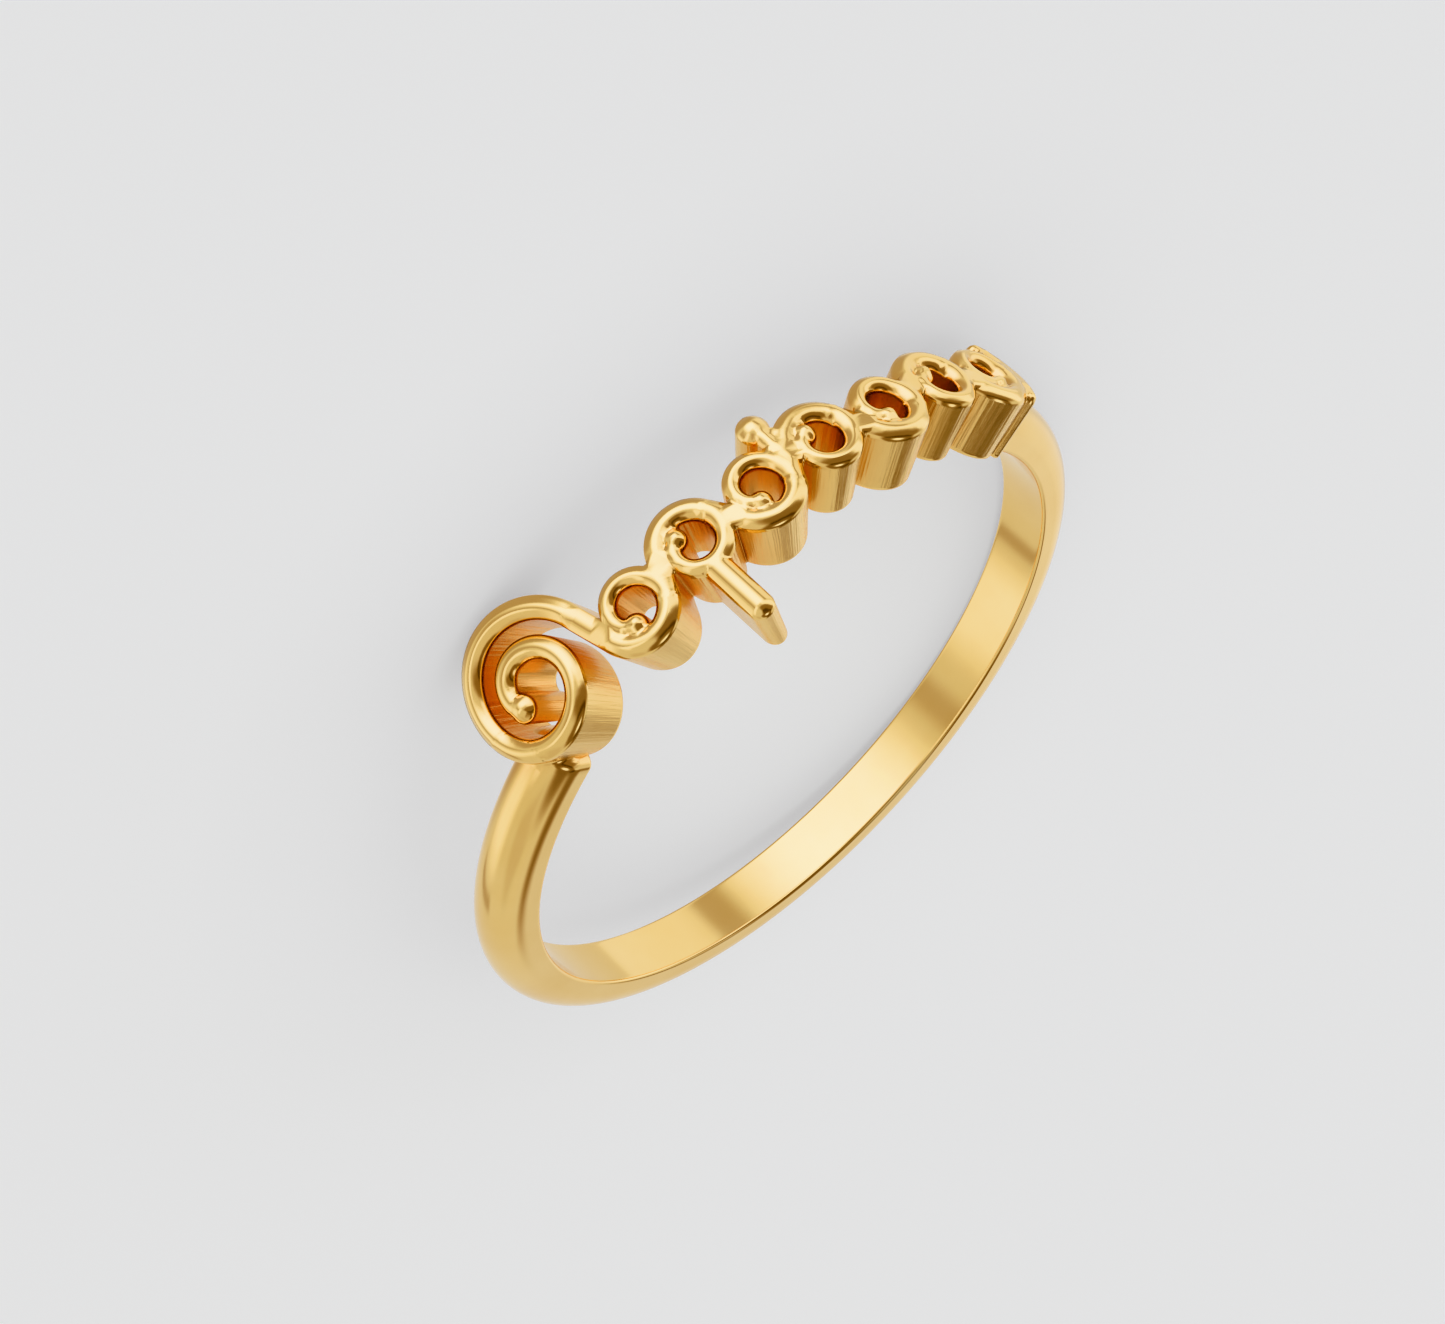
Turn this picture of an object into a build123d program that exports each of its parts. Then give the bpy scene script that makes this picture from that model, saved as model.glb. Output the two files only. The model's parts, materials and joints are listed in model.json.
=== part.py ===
"""A gold finger ring, cast in one piece.

The plain shank is flat inside and half round outside. Where it stops, an openwork band of scrolls
closes the circle: a large volute, a running row of small curls on a waving stem, a drop that hangs
from the row, a berry on a stalk, and a crescent that ends it. Every wall of the scrollwork runs
straight in towards the ring's axis, and its underside is flush with the bore.

Lengths are in millimetres and angles in degrees. The ring is made about its own axis, +Z, with the
middle of the scroll band at -Y, and is then laid down on its side the way it comes to rest: on the
crown of the large volute and on the far side of the shank.
"""

from build123d import *
from math import acos, asin, atan2, ceil, cos, degrees, hypot, pi, radians, sin, sqrt
import os

# the finger hole and the shank
bore_radius = 8.65
shank_width = 1.54
shank_thickness = 1.24
shank_side = 0.46
edge_round = 0.08

# the scroll band: its height above the bore, its rounded top edge and the width of its wires
band_height = 1.90
rim_round = 0.16
stem_width = 0.60
curl_width = 0.54
curl_end_width = 0.42
curl_ball = 0.60

# the large volute at the start of the band
volute_radius = 1.95
volute_inner_radius = 0.52
volute_rise = 0.78
volute_turns = 1.5
volute_ease = 1.1
volute_gap = 0.33
volute_ball = 0.74

# the row of small curls
row_radius = 0.88
row_pitch = 2.04
row_count = 7
curl_end_radius = 0.42
curl_turn = 270.0

# the drop on one side of the row, the berry on its other side and the crescent at its end
drop_curl = 1
drop_length = 1.35
drop_width = 0.70
berry_curl = 3
berry_width = 0.84
berry_rise = 1.24
stalk_width = 0.42
crescent_radius = 1.45
crescent_turn = 84.0
crescent_width = 0.66
crescent_tip = 0.36

# the length of the band's flat facets, and how far a sharp corner's rounding may run out
facet = 0.22
longest_miter = 1.2

# where things come along the band, measured along its top circle from the volute's end
top_radius = bore_radius + band_height
volute_centre = (volute_radius, volute_rise)
first_curl = volute_centre[0] + sqrt((volute_radius + row_radius + volute_gap) ** 2 - volute_rise**2)
last_curl = first_curl + (row_count - 1) * row_pitch
crescent_centre = last_curl + row_radius + stem_width / 2 - crescent_radius
band_end = crescent_centre + crescent_radius + crescent_width / 2
band_start_angle = 270 + degrees(band_end / top_radius) / 2

# the shank runs in under the volute's outer turn at one end and under the crescent at the other
shank_start = volute_centre[0] - volute_radius / 2
shank_end = crescent_centre + crescent_radius - crescent_width / 3
shank_turn = 360 - degrees((shank_end - shank_start) / top_radius)
shank_outer_radius = bore_radius + shank_side


def polar(centre, radius, angle):
    """The flat point at this radius and angle about a centre."""
    return (centre[0] + radius * cos(angle), centre[1] + radius * sin(angle))


def spiral(centre, start_radius, end_radius, start, sweep, ease=1.0):
    """Points along an arc whose radius changes on the way; with two equal radii it is a plain arc."""
    count = max(2, ceil(abs(sweep) * (start_radius + end_radius) / 2 / facet))
    shares = [i / count for i in range(count + 1)]
    growth = end_radius - start_radius
    return [polar(centre, start_radius + growth * t**ease, start + sweep * t) for t in shares]


def crossing(left, right):
    """Where the stem leaves the left disc, to cross over to the far side of the right one."""
    (x0, y0), (x1, y1) = left["centre"], right["centre"]
    line = atan2(y1 - y0, x1 - x0)
    return line + left["side"] * acos((left["radius"] + right["radius"]) / hypot(x1 - x0, y1 - y0))


def scroll_discs():
    """The discs that the stem winds past, over one (side 1) and under the next (side -1)."""
    discs = [{"centre": volute_centre, "radius": volute_radius, "side": 1}]
    for i in range(row_count):
        centre = (first_curl + i * row_pitch, 0)
        discs.append({"centre": centre, "radius": row_radius, "side": 1 if i % 2 else -1})
    for left, right in zip(discs, discs[1:]):
        left["exit"] = crossing(left, right)
        right["entry"] = left["exit"] + pi
    discs[-1]["exit"] = 0
    return discs


def stem_points(discs):
    """The line of the volute, from its inner end, and of the stem that runs on to the last curl."""
    turns = 2 * pi * volute_turns
    start = discs[0]["exit"]
    coil = spiral(volute_centre, volute_radius, volute_inner_radius, start, turns, volute_ease)
    points = coil[::-1]
    for disc in discs[1:]:
        sweep = (disc["entry"] - disc["exit"]) % (2 * pi)
        if disc["side"] < 0:
            sweep = sweep - 2 * pi
        points += spiral(disc["centre"], row_radius, row_radius, disc["entry"], -sweep)
    return points


def curl_points(disc):
    """The line of the curl that leaves the stem at a disc's exit and rolls up inside it."""
    sweep = -disc["side"] * radians(curl_turn)
    return spiral(disc["centre"], row_radius, curl_end_radius, disc["exit"], sweep)


def wire_outline(points, start_width, end_width, middle_width=None):
    """The outline of a wire with round ends that follows a line of points."""
    last = len(points) - 1
    swell = 0 if middle_width is None else middle_width - (start_width + end_width) / 2
    left, right, start_cap, end_cap = [], [], [], []
    for i, point in enumerate(points):
        (x0, y0), (x1, y1) = points[max(i - 1, 0)], points[min(i + 1, last)]
        half = (start_width + (end_width - start_width) * i / last + swell * sin(pi * i / last)) / 2
        normal = atan2(y1 - y0, x1 - x0) + pi / 2
        left.append(polar(point, half, normal))
        right.append(polar(point, -half, normal))
        if i == 0:
            start_cap = [polar(point, half, normal + pi * k / 6) for k in range(5, 0, -1)]
        if i == last:
            end_cap = [polar(point, half, normal - pi * k / 6) for k in range(1, 6)]
    return left + end_cap + right[::-1] + start_cap


def flat_band():
    """The whole band as one flat face: along the top circle in X, across the band in Y."""
    discs = scroll_discs()
    stem = stem_points(discs)
    curls = [curl_points(disc) for disc in discs[1:]]
    drop_s = first_curl + drop_curl * row_pitch
    berry_s = first_curl + (berry_curl - 0.5) * row_pitch
    half_turn = radians(crescent_turn) / 2
    crescent = spiral((crescent_centre, 0), crescent_radius, crescent_radius, -half_turn, 2 * half_turn)
    drop = [(drop_s, -row_radius), (drop_s, -row_radius - drop_length)]
    outlines = [
        wire_outline(stem, stem_width, stem_width),
        wire_outline(drop, drop_width, drop_width),
        wire_outline([(berry_s, 0), (berry_s, berry_rise)], stalk_width, stalk_width),
        wire_outline(crescent, crescent_tip, crescent_tip, crescent_width),
        *[wire_outline(curl, curl_width, curl_end_width) for curl in curls],
    ]
    with BuildSketch() as flat:
        for outline in outlines:
            with BuildLine():
                Polyline(*outline, close=True)
            make_face()
        with Locations(stem[0]):
            RegularPolygon(volute_ball / 2, 18)
        with Locations(*[curl[-1] for curl in curls]):
            RegularPolygon(curl_ball / 2, 16)
        with Locations((berry_s, berry_rise)):
            RegularPolygon(berry_width / 2, 18)
    return flat.face()


def bend(point, radius):
    """The place on the ring of a flat point, at a distance from the ring's axis."""
    angle = radians(band_start_angle) - point[0] / top_radius
    return (radius * cos(angle), radius * sin(angle), -point[1])


def inset(points, before, after, distance):
    """The outline's points, each moved into the metal along the bisector of its corner."""
    moved = []
    for i, (x, y) in enumerate(points):
        (x0, y0), (x1, y1) = points[before[i]], points[after[i]]
        left = atan2(y - y0, x - x0) + pi / 2
        turn = (atan2(y1 - y, x1 - x) + pi / 2 - left + pi) % (2 * pi) - pi
        miter = min(1 / cos(turn / 2), longest_miter)
        moved.append(polar((x, y), distance * miter, left + turn / 2))
    return moved


def bent_band():
    """The flat face wrapped round the ring's axis as a solid with radial walls and a rounded rim."""
    vertices, caps = flat_band().tessellate(facet)
    points = [(v.X, v.Y) for v in vertices]
    sides = {side for a, b, c in caps for side in ((a, b), (b, c), (c, a))}
    rim = [(a, b) for a, b in sides if (b, a) not in sides]
    before = {b: a for a, b in rim}
    after = {a: b for a, b in rim}
    levels = [[bend(p, bore_radius - rim_round) for p in points]]
    for turn in (0, pi / 4, pi / 2):
        flat = inset(points, before, after, rim_round * (1 - cos(turn)))
        levels.append([bend(p, top_radius - rim_round * (1 - sin(turn))) for p in flat])
    triangles = [(levels[0][c], levels[0][b], levels[0][a]) for a, b, c in caps]
    triangles += [(levels[-1][a], levels[-1][b], levels[-1][c]) for a, b, c in caps]
    for low, high in zip(levels, levels[1:]):
        for a, b in rim:
            triangles += [(low[a], low[b], high[b]), (low[a], high[b], high[a])]
    return Solid(Shell([Face(Wire.make_polygon(corners)) for corners in triangles]))


def resting_plane(centre):
    """The plane that the ring lies on: it touches the volute's crown and the shank's far side.

    The centre of mass is over the line between the two, so the far contact is where that line
    leaves the shank.
    """
    crown_s, stem_top = max(stem_points(scroll_discs()), key=lambda point: point[1])
    crown_height = stem_top + stem_width / 2
    crown = bend((crown_s, crown_height), bore_radius)
    reach = hypot(centre.X - crown[0], centre.Y - crown[1])
    way = ((centre.X - crown[0]) / reach, (centre.Y - crown[1]) / reach)
    along = -(crown[0] * way[0] + crown[1] * way[1])
    length = along + sqrt(along**2 - bore_radius**2 + shank_outer_radius**2)
    far_angle = atan2(crown[1] + length * way[1], crown[0] + length * way[0])
    span = shank_outer_radius - (crown[0] * cos(far_angle) + crown[1] * sin(far_angle))
    tilt = atan2(crown_height, span) - asin(shank_width / 2 / hypot(span, crown_height))
    up = (-sin(tilt) * cos(far_angle), -sin(tilt) * sin(far_angle), cos(tilt))
    return Plane(origin=(0, 0, 0), x_dir=(1, 0, 0), z_dir=up)


with BuildPart() as ring:
    start_angle = band_start_angle - degrees(shank_start / top_radius)
    with BuildSketch(Plane.XZ.rotated((0, 0, start_angle))) as section:
        with BuildLine():
            half_width = shank_width / 2
            sides = Polyline(
                (shank_outer_radius, -half_width),
                (bore_radius, -half_width),
                (bore_radius, half_width),
                (shank_outer_radius, half_width),
            )
            ThreePointArc(sides @ 1, (bore_radius + shank_thickness, 0), sides @ 0)
        make_face()
        fillet(section.vertices().group_by(SortBy.DISTANCE)[0], edge_round)
    revolve(axis=Axis.Z, revolution_arc=shank_turn)
    add(bent_band())
    Cylinder(bore_radius, 4 * (volute_radius + volute_rise + drop_length), mode=Mode.SUBTRACT)

laid = resting_plane(ring.part.center()).location.inverse() * ring.part
floor = laid.bounding_box()

with BuildPart() as scroll_ring:
    with Locations((-floor.center().X, -floor.center().Y, -floor.min.Z)):
        add(laid)

scroll_ring.part.label = "scroll_ring"
os.makedirs("parts", exist_ok=True)
export_step(scroll_ring.part, "parts/scroll_ring.step")
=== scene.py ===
"""A polished gold scroll ring, lying on its side on a pale studio floor.

The ring is one casting, so it is one piece here. Its scroll band is drawn flat, along the band's top
circle and across it, as wires with straight walls and a rounded bead on top. The flat band and a
straight bar with the shank's section form one closed mesh, which is bent round the finger hole.
Sizes are in millimetres until the finished mesh is set in the part's frame, in metres.
"""

import json
import logging
from dataclasses import dataclass
from enum import Enum
from math import acos, atan2, ceil, cos, degrees, hypot, pi, radians, sin, sqrt
from typing import Any, Callable

import bpy
import numpy as np
from mathutils import Matrix, Vector
from mathutils.geometry import delaunay_2d_cdt
from mathutils.kdtree import KDTree


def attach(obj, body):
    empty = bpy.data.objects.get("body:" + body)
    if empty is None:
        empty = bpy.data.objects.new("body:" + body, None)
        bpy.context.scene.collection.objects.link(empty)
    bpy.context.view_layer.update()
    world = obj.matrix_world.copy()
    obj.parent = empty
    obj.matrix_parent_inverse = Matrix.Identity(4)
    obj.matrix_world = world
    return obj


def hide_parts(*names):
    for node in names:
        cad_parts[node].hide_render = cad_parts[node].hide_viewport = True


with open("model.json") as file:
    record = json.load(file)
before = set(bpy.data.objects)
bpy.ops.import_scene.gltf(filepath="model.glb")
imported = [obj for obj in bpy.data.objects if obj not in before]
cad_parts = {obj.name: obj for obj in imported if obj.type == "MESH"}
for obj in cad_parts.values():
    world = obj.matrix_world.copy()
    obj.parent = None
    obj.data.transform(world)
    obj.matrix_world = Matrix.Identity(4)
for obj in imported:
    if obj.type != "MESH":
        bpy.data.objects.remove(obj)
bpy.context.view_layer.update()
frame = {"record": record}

LOG = logging.getLogger("scroll_ring")
MM = 0.001

Point = tuple[float, float]
Array = np.ndarray
Corner = tuple[float, float, float]
Face = tuple[int, ...]
Shape = Callable[[Array], Array]
Stops = tuple[tuple[float, tuple[float, ...]], ...]
Socket = bpy.types.NodeSocket

# the least squared slope that a move towards a zero line trusts, and the longest such move
LEAST_SQUARE = 0.2
LONGEST_MOVE = 0.05


def rounding(depth: Array, radius: float) -> Array:
    """How far a rounded edge is below its flat, at a depth in from its wall."""
    short = np.clip(radius - depth, 0.0, radius)
    return radius - np.sqrt(radius**2 - short**2)


def blended(distances: list[Array], blend: float) -> Array:
    """Joins several shapes into one, with a soft fillet between them.

    Args:
        distances: The distance outside each shape, negative inside.
        blend: How far the fillet reaches.

    Returns:
        The distance outside them all.
    """
    stack = np.stack(distances)
    lowest = stack.min(axis=0)
    return lowest - blend * np.log(np.exp((lowest - stack) / blend).sum(axis=0))


def gradient(shape: Shape, places: Array, step: float = 1e-4) -> Array:
    """Measures the slope of a distance.

    Args:
        shape: The distance.
        places: Flat places, one row each.
        step: How far to either side the distance is read.

    Returns:
        The slope at each place, one row each.
    """
    columns = []
    for shift in np.eye(2) * step:
        columns.append((shape(places + shift) - shape(places - shift)) / (2 * step))
    return np.stack(columns, axis=1)


def settle(shape: Shape, places: Array, rounds: int = 4) -> Array:
    """Moves flat places along the slope of a distance until they are on its zero line.

    Args:
        shape: The distance.
        places: The places, one row each.
        rounds: How many times the move is made.

    Returns:
        The moved places.
    """
    for _ in range(rounds):
        slope = gradient(shape, places)
        square = np.maximum((slope**2).sum(axis=1), LEAST_SQUARE)
        move = np.clip(shape(places) / square, -LONGEST_MOVE, LONGEST_MOVE)
        places = places - move[:, None] * slope
    return places


class Side(Enum):
    """The side of a disc that the stem passes on."""

    OVER = 1
    UNDER = -1


@dataclass
class Disc:
    """A round place that the stem winds past.

    Args:
        centre: Its centre in the flat band.
        radius: The radius of the stem's line round it.
        side: The side that the stem passes on.
        entry: The angle where the stem's line meets it.
        exit: The angle where the stem's line leaves it.
    """

    centre: Point
    radius: float
    side: Side
    entry: float = 0.0
    exit: float = 0.0


@dataclass
class Wire:
    """A wire of the flat band: a line of points with a half width at each.

    Args:
        points: The line, one row for each point.
        half_widths: Half the wire's width at each point.
        rise: How far its rounded bead rises above the lip of its walls.
    """

    points: Array
    half_widths: Array
    rise: float = 0.26

    # how many stretches are measured together, how far out they are measured, and what stands beyond
    RUN = 12
    MARGIN = 0.4
    FAR = 9.0

    def measure(self, places: Array) -> tuple[Array, Array]:
        """How far flat places are from the wire's line, and its half width there.

        Args:
            places: Flat places, one row each.

        Returns:
            The distance to the nearest stretch of the line, and the half width at that stretch.
        """
        nearest = np.full(len(places), self.FAR)
        distance = np.full(len(places), self.FAR)
        half_width = np.full(len(places), self.half_widths.min())
        for first in range(0, len(self.points) - 1, self.RUN):
            line = self.points[first : first + self.RUN + 1]
            widths = self.half_widths[first : first + self.RUN + 1]
            reach = widths.max() + self.MARGIN
            inside = (places > line.min(axis=0) - reach) & (places < line.max(axis=0) + reach)
            near = np.flatnonzero(inside.all(axis=1))
            if not len(near):
                continue
            ways = np.diff(line, axis=0)
            offsets = places[near][:, None, :] - line[:-1]
            share = np.clip((offsets * ways).sum(axis=2) / (ways**2).sum(axis=1), 0.0, 1.0)
            gaps = np.linalg.norm(offsets - share[..., None] * ways, axis=2)
            here = widths[:-1] + share * np.diff(widths)
            best = (gaps - here).argmin(axis=1)
            rows = np.arange(len(near))
            gap, width = gaps[rows, best], here[rows, best]
            closer = gap - width < nearest[near]
            nearest[near[closer]] = (gap - width)[closer]
            distance[near[closer]] = gap[closer]
            half_width[near[closer]] = width[closer]
        return distance, half_width


@dataclass(frozen=True)
class ScrollLayout:
    """The flat drawing of the scroll band and its driving sizes, which are the solid's own.

    The band runs along X from the large volute's end, and across the ring's width in Y. Angles are in
    degrees, and balls and the berry are given by their full width.
    """

    # the stem and the small curls
    stem_width: float = 0.60
    curl_width: float = 0.54
    curl_end_width: float = 0.42
    curl_ball: float = 0.60
    # the large volute
    volute_radius: float = 1.95
    volute_inner_radius: float = 0.52
    volute_rise: float = 0.78
    volute_turns: float = 1.5
    volute_ease: float = 1.1
    volute_gap: float = 0.33
    volute_ball: float = 0.74
    # the row of small curls
    row_radius: float = 0.88
    row_pitch: float = 2.04
    row_count: int = 7
    curl_end_radius: float = 0.42
    curl_turn: float = 270.0
    # the drop, the berry on its stalk and the end crescent
    drop_curl: int = 1
    drop_length: float = 1.35
    drop_width: float = 0.70
    berry_curl: int = 3
    berry_width: float = 0.84
    berry_rise: float = 1.24
    stalk_width: float = 0.42
    crescent_radius: float = 1.45
    crescent_turn: float = 84.0
    crescent_width: float = 0.66
    crescent_tip: float = 0.36
    # the distance between a line's points, and how far a ball's bead rises
    line_step: float = 0.06
    ball_rise: float = 0.30

    @property
    def volute_centre(self) -> Point:
        """The large volute's centre."""
        return (self.volute_radius, self.volute_rise)

    @property
    def first_curl(self) -> float:
        """Where the first small curl's centre is, along the band."""
        reach = self.volute_radius + self.row_radius + self.volute_gap
        return self.volute_radius + sqrt(reach**2 - self.volute_rise**2)

    @property
    def crescent_centre(self) -> float:
        """Where the end crescent's centre is, along the band."""
        last_curl = self.first_curl + (self.row_count - 1) * self.row_pitch
        return last_curl + self.row_radius + self.stem_width / 2 - self.crescent_radius

    @property
    def band_end(self) -> float:
        """The length of the band."""
        return self.crescent_centre + self.crescent_radius + self.crescent_width / 2

    @property
    def shank_start(self) -> float:
        """Where the shank ends inside the volute, along the band."""
        return self.volute_centre[0] - self.volute_radius / 2

    @property
    def shank_end(self) -> float:
        """Where the shank ends inside the crescent, along the band."""
        return self.crescent_centre + self.crescent_radius - self.crescent_width / 3

    def spiral(self, centre: Point, radii: Point, start: float, sweep: float, ease: float = 1.0) -> Array:
        """Points along an arc whose radius changes on the way.

        Args:
            centre: The arc's centre.
            radii: The radius at its start and at its end.
            start: The angle of its start.
            sweep: The angle that it covers, anticlockwise if positive.
            ease: How late the radius changes: 1 is evenly.

        Returns:
            The points, one row each.
        """
        count = max(2, ceil(abs(sweep) * sum(radii) / 2 / self.line_step))
        share = np.linspace(0.0, 1.0, count + 1)
        radius = radii[0] + (radii[1] - radii[0]) * share**ease
        angle = start + sweep * share
        return np.stack([centre[0] + radius * np.cos(angle), centre[1] + radius * np.sin(angle)], axis=1)

    def discs(self) -> list[Disc]:
        """Sets out the volute and the row of small discs.

        Returns:
            The discs, with the angles where the stem meets each.
        """
        discs = [Disc(self.volute_centre, self.volute_radius, Side.OVER)]
        for i in range(self.row_count):
            centre = (self.first_curl + i * self.row_pitch, 0.0)
            discs.append(Disc(centre, self.row_radius, Side.OVER if i % 2 else Side.UNDER))
        for left, right in zip(discs, discs[1:]):
            run, rise = right.centre[0] - left.centre[0], right.centre[1] - left.centre[1]
            lean = acos((left.radius + right.radius) / hypot(run, rise))
            left.exit = atan2(rise, run) + left.side.value * lean
            right.entry = left.exit + pi
        return discs

    def stem(self, discs: list[Disc]) -> Array:
        """Draws the line of the volute, from its inner end, and of the stem on to the last curl.

        Args:
            discs: The discs that it winds past.

        Returns:
            The line's points, one row each.
        """
        radii = (self.volute_radius, self.volute_inner_radius)
        turns = 2 * pi * self.volute_turns
        pieces = [self.spiral(self.volute_centre, radii, discs[0].exit, turns, self.volute_ease)[::-1]]
        for disc in discs[1:]:
            sweep = (disc.entry - disc.exit) % (2 * pi)
            if disc.side is Side.UNDER:
                sweep -= 2 * pi
            radii = (self.row_radius, self.row_radius)
            pieces.append(self.spiral(disc.centre, radii, disc.entry, -sweep))
        return np.concatenate(pieces)

    def wires(self) -> list[Wire]:
        """Draws every wire of the band.

        Returns:
            The wires, stem first.
        """
        discs = self.discs()
        stem = self.stem(discs)
        wires = [Wire(stem, np.full(len(stem), self.stem_width / 2))]
        balls = [(tuple(stem[0]), self.volute_ball)]
        for disc in discs[1:]:
            sweep = -disc.side.value * radians(self.curl_turn)
            line = self.spiral(disc.centre, (self.row_radius, self.curl_end_radius), disc.exit, sweep)
            wires.append(Wire(line, np.linspace(self.curl_width, self.curl_end_width, len(line)) / 2))
            balls.append((tuple(line[-1]), self.curl_ball))
        drop = self.first_curl + self.drop_curl * self.row_pitch
        berry = self.first_curl + (self.berry_curl - 0.5) * self.row_pitch
        balls.append(((berry, self.berry_rise), self.berry_width))
        drop_end = -self.row_radius - self.drop_length
        wires.append(self.straight((drop, -self.row_radius), (drop, drop_end), self.drop_width))
        wires.append(self.straight((berry, 0.0), (berry, self.berry_rise), self.stalk_width))
        wires.append(self.crescent())
        for centre, width in balls:
            ball = self.straight(centre, (centre[0] + 1e-3, centre[1]), width)
            ball.rise = self.ball_rise
            wires.append(ball)
        return wires

    def straight(self, start: Point, end: Point, width: float) -> Wire:
        """Draws a straight wire of one width.

        Args:
            start: Where its line starts.
            end: Where its line ends.
            width: Its width.

        Returns:
            The wire.
        """
        way = np.subtract(end, start)
        share = np.linspace(0.0, 1.0, ceil(hypot(*way) / self.line_step) + 1)
        line = start + share[:, None] * way
        return Wire(line, np.full(len(line), width / 2))

    def crescent(self) -> Wire:
        """Draws the crescent that ends the band.

        Returns:
            Its wire, widest at the middle.
        """
        turn = radians(self.crescent_turn)
        radii = (self.crescent_radius, self.crescent_radius)
        line = self.spiral((self.crescent_centre, 0.0), radii, -turn / 2, turn)
        swell = np.sin(np.linspace(0.0, pi, len(line)))
        return Wire(line, (self.crescent_tip + (self.crescent_width - self.crescent_tip) * swell) / 2)


@dataclass
class FlatRing:
    """The whole ring unrolled along the band's top circle, as heights over a flat outline.

    A flat place has X along the circle and Y across the ring's width. Heights are distances from the
    ring's axis. The ring is cut open at the middle of the shank, opposite the band.

    Args:
        layout: The flat drawing of the band.
        bore_radius: The finger hole's radius.
        band_height: The height of the band above the bore.
        shank_width: The shank's width along the ring's axis.
        shank_thickness: Its thickness at the middle of its round back.
        shank_side: The height of its straight sides.
        edge_round: The rounding of the inner face's edges.
        lip_drop: How far the top of the band's walls is below its height.
        bead_power: How square the section of a bead is, 2 for a round one.
        bead_share: How much of that section's half width is used, so that its sides lean in.
        join_blend: How softly the outlines of crossing wires join.
        fillet: The fillet where the shank runs into the band's walls.
        shank_tip: The length of the shank's round end under the volute.
    """

    layout: ScrollLayout
    bore_radius: float = 8.65
    band_height: float = 1.90
    shank_width: float = 1.54
    shank_thickness: float = 1.24
    shank_side: float = 0.46
    edge_round: float = 0.08
    lip_drop: float = 0.26
    bead_power: float = 2.4
    bead_share: float = 0.95
    join_blend: float = 0.02
    fillet: float = 0.10
    shank_tip: float = 0.46

    def __post_init__(self) -> None:
        """Works out what every place is measured against."""
        self.wires = self.layout.wires()
        self.top_radius = self.bore_radius + self.band_height
        self.length = 2 * pi * self.top_radius
        self.cut = (self.layout.shank_end + self.layout.shank_start + self.length) / 2
        self.strips = [
            (self.cut - self.length, self.layout.shank_start - self.shank_tip, True),
            (self.layout.shank_end, self.cut, False),
        ]

    def gaps(self, places: Array) -> list[tuple[Array, Array]]:
        """The distance from each wire's line and the wire's half width, at flat places."""
        return [wire.measure(places) for wire in self.wires]

    def band_edge(self, places: Array) -> Array:
        """The distance outside the band's outline, negative inside."""
        return blended([distance - half for distance, half in self.gaps(places)], self.join_blend)

    def shank_line(self, places: Array) -> Array:
        """Measures the distance from the middle line of the shank, which has a round end.

        Args:
            places: Flat places, one row each.

        Returns:
            The distance, with the round end under the volute as wide as the shank.
        """
        left_end = self.strips[0][1]
        across = np.abs(places[:, 1])
        over = np.where(places[:, 0] < self.cut / 2, np.maximum(places[:, 0] - left_end, 0.0), 0.0)
        over = np.where(places[:, 0] > self.layout.shank_end, 0.0, over)
        return np.hypot(across, over * self.shank_width / 2 / self.shank_tip)

    def shank_edge(self, places: Array) -> Array:
        """Measures the distance outside the shank's outline.

        Args:
            places: Flat places, one row each.

        Returns:
            The distance, negative inside.
        """
        side = self.shank_line(places) - self.shank_width / 2
        middle = (self.strips[0][1] + self.layout.shank_end) / 2
        behind = np.where(places[:, 0] > middle, self.layout.shank_end - places[:, 0], -1.0)
        return np.maximum(side, behind)

    def bead(self, share: Array) -> Array:
        """Works out the section of a bead.

        Args:
            share: How far out from the bead's middle, as a share of its half width.

        Returns:
            The height there, from 0 at its edge to 1 at its middle.
        """
        edge = sqrt(1 - self.bead_share**self.bead_power)
        curve = np.sqrt(1 - (self.bead_share * np.clip(share, 0.0, 1.0)) ** self.bead_power)
        return (curve - edge) / (1 - edge)

    def band_top(self, places: Array) -> Array:
        """Works out the height of the band's top, which is a rounded bead on every wire.

        Args:
            places: Flat places, one row each.

        Returns:
            The height at each.
        """
        rises = []
        for wire, (gap, half) in zip(self.wires, self.gaps(places)):
            rises.append(wire.rise * self.bead(gap / half))
        return self.top_radius - self.lip_drop + np.stack(rises).max(axis=0)

    def shank_top(self, places: Array) -> Array:
        """Works out the height of the shank's half-round back, with a fillet up to the band's walls.

        Args:
            places: Flat places, one row each.

        Returns:
            The height at each.
        """
        share = np.clip(self.shank_line(places) / (self.shank_width / 2), 0.0, 1.0)
        dome = self.bore_radius + self.shank_side
        dome = dome + (self.shank_thickness - self.shank_side) * np.sqrt(1 - share**2)
        return dome + rounding(np.maximum(self.band_edge(places), 0.0), self.fillet)

    def underside(self, places: Array) -> Array:
        """The height of the ring's inner face, with its edges rounded."""
        depth = -np.minimum(self.band_edge(places), self.shank_edge(places))
        return self.bore_radius + rounding(np.maximum(depth - 0.001, 0.0), self.edge_round)


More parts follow.
